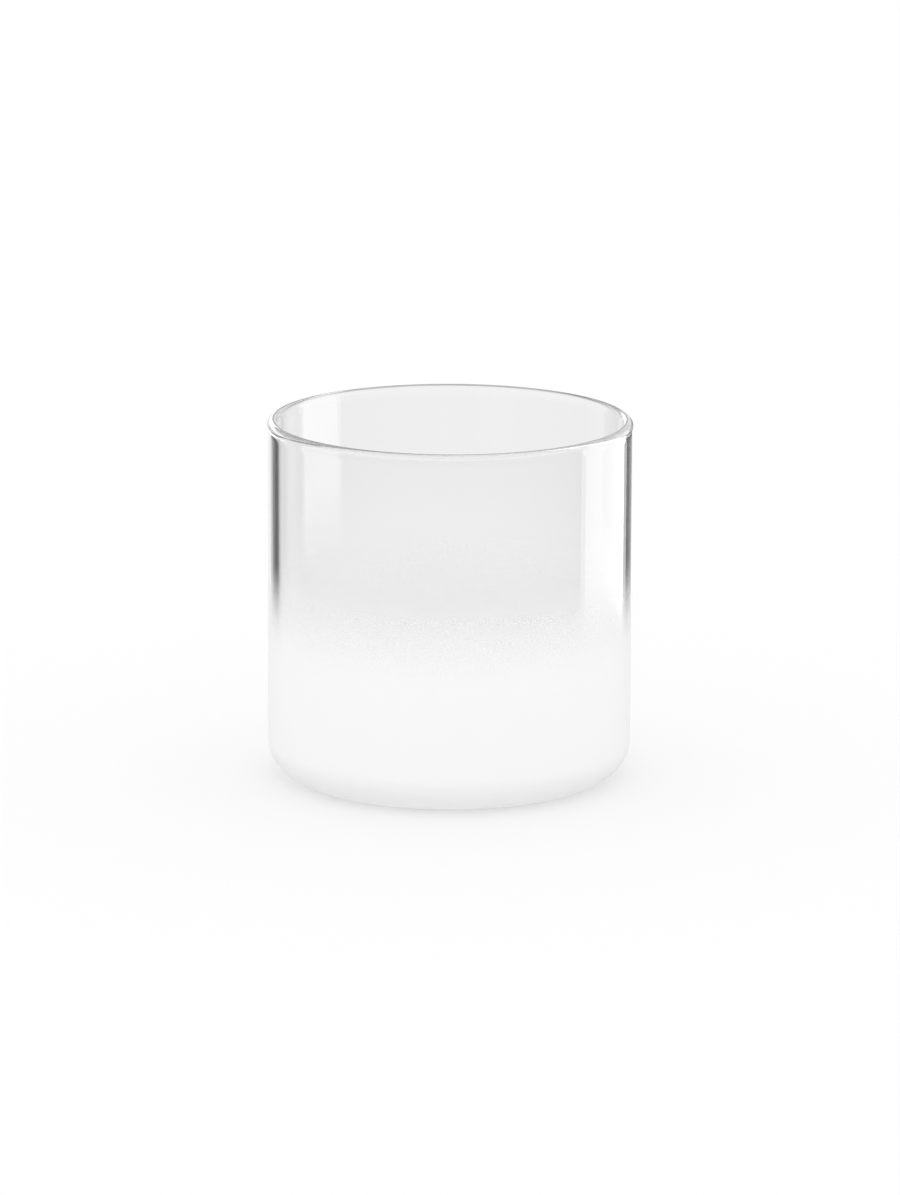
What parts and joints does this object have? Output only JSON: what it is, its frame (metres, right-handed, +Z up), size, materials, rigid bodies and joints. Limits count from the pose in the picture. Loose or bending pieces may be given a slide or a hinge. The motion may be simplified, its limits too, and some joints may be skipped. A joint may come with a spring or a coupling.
{
  "type": "drinking glass",
  "caption": "Straight clear-glass tumbler with a rounded heel and a fire-polished lip; its base and lower wall wear a matt white coat that fades out upwards.",
  "frame": {"origin": "on the glass's axis, in the plane that it stands on", "axes": "+Z is up along the glass's axis; the picture looks along +Y, with +X to its right"},
  "size_m": [0.0804, 0.0804, 0.08],
  "materials": {
    "clear_glass": "polished, clear",
    "white_coat": "sprayed matt coat that fades out upwards"
  },
  "bodies": {
    "root": {"glass_body": "clear_glass", "wall_coat": "white_coat", "base_coat": "white_coat"}
  },
  "joints": []
}
